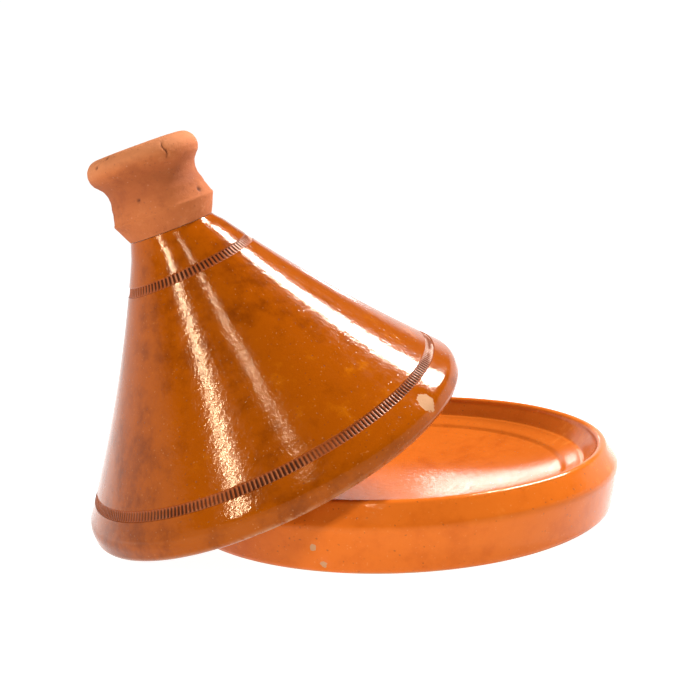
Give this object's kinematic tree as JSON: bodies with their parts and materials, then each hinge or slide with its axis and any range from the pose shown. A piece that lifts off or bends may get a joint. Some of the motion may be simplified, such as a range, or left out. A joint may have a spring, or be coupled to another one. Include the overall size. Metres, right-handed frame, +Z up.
{
  "type": "tagine pot",
  "caption": "Shallow round glazed clay cooking dish with a tall conical lid that leans on its rim; bare clay knob with a cupped top.",
  "frame": {"origin": "centre of the underside of the dish", "axes": "+Z up along the axis of the dish; the lid leans towards -X"},
  "size_m": [0.3483, 0.296, 0.2447],
  "materials": {
    "dish_glaze": "gloss",
    "lid_glaze": "gloss",
    "bare_clay": "matte"
  },
  "bodies": {
    "dish": {"dish": "dish_glaze"},
    "lid": {"lid_cone": "lid_glaze", "lid_knob": "bare_clay"}
  },
  "joints": [
    {"name": "lid_swing", "type": "hinge", "parent": "dish", "child": "lid", "pos_m": [-0.01368, 0, -0.14883], "axis": [0, 1, 0], "range_deg": [0, 22.5]}
  ]
}
